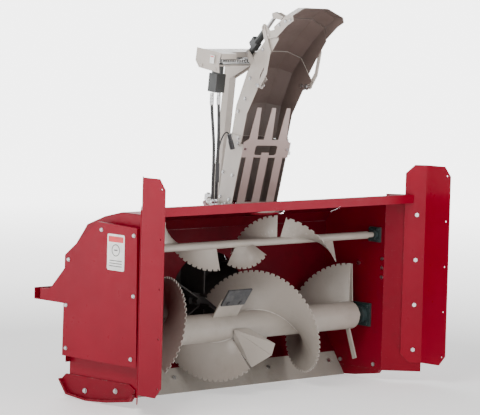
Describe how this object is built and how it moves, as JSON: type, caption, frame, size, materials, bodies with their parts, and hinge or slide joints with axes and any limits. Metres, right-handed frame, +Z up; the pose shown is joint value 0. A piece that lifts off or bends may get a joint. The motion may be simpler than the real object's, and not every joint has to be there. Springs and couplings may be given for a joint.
{
  "type": "two stage snowblower",
  "caption": "Tractor-mounted two stage snowblower: twin horizontal augers, a fan behind the intake, and a turning chute with linked deflectors.",
  "frame": {"origin": "on the ground, below the middle of the overall box", "axes": "+Z up, intake facing -Y, +X to the machine's right seen from the front, along the auger shafts"},
  "size_m": [2.16, 1.324, 2.1033],
  "materials": {
    "red_paint": "gloss powder coat",
    "grey_paint": "satin powder coat",
    "zinc": "zinc plated",
    "machined_steel": "machined",
    "dark_steel": "worn and oiled",
    "black_paint": "satin",
    "black_rubber": "matt",
    "black_plastic": "matt"
  },
  "bodies": {
    "frame": {"left_side_plate": "red_paint", "right_side_plate": "red_paint", "top_hood": "red_paint", "back_sheet": "red_paint", "scraper_blade": "grey_paint", "plate_bolts": "zinc", "fan_housing": "red_paint", "discharge_neck": "red_paint", "chute_base_ring": "red_paint", "ring_clips": "zinc", "gearbox": "black_paint", "primary_chain": "dark_steel", "auger_chains": "dark_steel", "chain_tensioner": "zinc", "chain_guard": "red_paint", "flange_bearings": "black_paint", "left_drift_cutter": "red_paint", "right_drift_cutter": "red_paint", "rear_frame": "red_paint", "hitch_frame": "red_paint", "hitch_pins": "zinc", "drive_mast": "grey_paint", "drive_cover": "grey_paint", "chute_motor": "black_paint", "rotation_chain": "dark_steel", "hydraulic_hoses": "black_rubber", "hose_fittings": "zinc", "control_cable": "black_rubber", "cable_connectors": "black_plastic"},
    "main_auger": {"main_auger_tube": "grey_paint", "main_flight_left": "grey_paint", "main_flight_right": "grey_paint", "kick_paddles": "grey_paint", "paddle_tips": "dark_steel", "splitter_paddle": "grey_paint", "sweeper_bars": "grey_paint", "main_auger_sprockets": "machined_steel"},
    "upper_auger": {"upper_auger_tube": "grey_paint", "upper_flights": "grey_paint", "upper_auger_sprocket": "machined_steel"},
    "fan": {"fan_impeller": "grey_paint"},
    "pto": {"pto_shaft": "machined_steel"},
    "cross_shaft": {"cross_shaft": "machined_steel"},
    "jackshaft": {"jackshaft": "machined_steel"},
    "left_skid": {"left_skid_shoe": "red_paint"},
    "right_skid": {"right_skid_shoe": "red_paint"},
    "chute": {"chute_turntable": "grey_paint", "lower_chute": "grey_paint", "chute_lattice": "grey_paint", "upper_chute": "grey_paint", "latch_base": "zinc", "pivot_bolts": "zinc", "chute_sprocket": "machined_steel"},
    "latch": {"latch_lever": "zinc"},
    "lower_deflector": {"lower_deflector": "grey_paint"},
    "upper_deflector": {"upper_deflector": "grey_paint"},
    "links": {"deflector_links": "grey_paint"},
    "actuator_body": {"actuator_body": "black_paint"},
    "actuator_rod": {"actuator_rod": "zinc"},
    "pinion": {"motor_pinion": "machined_steel"}
  },
  "joints": [
    {"name": "auger_spin", "type": "hinge", "parent": "frame", "child": "main_auger", "pos_m": [0, -0.164, 0.367], "axis": [1, 0, 0], "continuous": true},
    {"name": "upper_auger_spin", "type": "hinge", "parent": "frame", "child": "upper_auger", "pos_m": [0, -0.249, 0.828], "axis": [1, 0, 0], "continuous": true},
    {"name": "jackshaft_spin", "type": "hinge", "parent": "frame", "child": "jackshaft", "pos_m": [-0.7, 0.189, 0.56], "axis": [1, 0, 0], "continuous": true},
    {"name": "cross_shaft_spin", "type": "hinge", "parent": "frame", "child": "cross_shaft", "pos_m": [-0.3, 0.461, 0.458], "axis": [1, 0, 0], "continuous": true},
    {"name": "fan_spin", "type": "hinge", "parent": "frame", "child": "fan", "pos_m": [0, 0.281, 0.458], "axis": [0, 1, 0], "continuous": true},
    {"name": "pto_spin", "type": "hinge", "parent": "frame", "child": "pto", "pos_m": [0, 0.521, 0.458], "axis": [0, 1, 0], "continuous": true},
    {"name": "left_skid_height", "type": "slide", "parent": "frame", "child": "left_skid", "axis": [0, 0, 1], "range_m": [0, 0.05]},
    {"name": "right_skid_height", "type": "slide", "parent": "frame", "child": "right_skid", "axis": [0, 0, 1], "range_m": [0, 0.05]},
    {"name": "chute_turn", "type": "hinge", "parent": "frame", "child": "chute", "pos_m": [0.372, 0.271, 0.963], "axis": [0, -0.1045, 0.9945], "range_deg": [-5, 108]},
    {"name": "pinion_spin", "type": "hinge", "parent": "frame", "child": "pinion", "pos_m": [0.072, 0.18299, 1.80039], "axis": [0, -0.1045, 0.9945], "range_deg": [-12, 247.5]},
    {"name": "latch_swing", "type": "hinge", "parent": "chute", "child": "latch", "pos_m": [0.5117, 0.06498, 1.32847], "axis": [-0.2079, -0.9728, -0.1022], "range_deg": [0, 80]},
    {"name": "lower_deflector_tilt", "type": "hinge", "parent": "chute", "child": "lower_deflector", "pos_m": [0.31898, -0.05389, 1.6679], "axis": [0.9781, -0.2068, -0.0217], "range_deg": [-15, 0]},
    {"name": "upper_deflector_tilt", "type": "hinge", "parent": "lower_deflector", "child": "upper_deflector", "pos_m": [0.30048, -0.17057, 1.94522], "axis": [0.9781, -0.2068, -0.0217], "range_deg": [-12.02, 0]},
    {"name": "link_swing", "type": "hinge", "parent": "chute", "child": "links", "pos_m": [0.30963, -0.09798, 1.66628], "axis": [0.9781, -0.2068, -0.0217], "range_deg": [-16.04, 0]},
    {"name": "actuator_swing", "type": "hinge", "parent": "chute", "child": "actuator_body", "pos_m": [0.24332, 0.11142, 1.84314], "axis": [0.9781, -0.2068, -0.0217], "range_deg": [-19.3, 0]},
    {"name": "actuator_extend", "type": "slide", "parent": "actuator_body", "child": "actuator_rod", "axis": [-0.1438, -0.7483, 0.6476], "range_m": [-0.0789, 0]}
  ],
  "couplings": [
    {"joint": "upper_auger_spin", "follows": "auger_spin", "ratio": 1.2},
    {"joint": "jackshaft_spin", "follows": "auger_spin", "ratio": 3},
    {"joint": "cross_shaft_spin", "follows": "auger_spin", "ratio": 3},
    {"joint": "fan_spin", "follows": "auger_spin", "ratio": 3},
    {"joint": "pto_spin", "follows": "auger_spin", "ratio": 3},
    {"joint": "pinion_spin", "follows": "chute_turn", "ratio": 2.2857},
    {"joint": "upper_deflector_tilt", "follows": "lower_deflector_tilt", "ratio": 0.78794},
    {"joint": "link_swing", "follows": "lower_deflector_tilt", "ratio": 1.0558},
    {"joint": "actuator_swing", "follows": "lower_deflector_tilt", "ratio": 1.2733},
    {"joint": "actuator_extend", "follows": "lower_deflector_tilt", "m_per_rad": 0.29741}
  ]
}
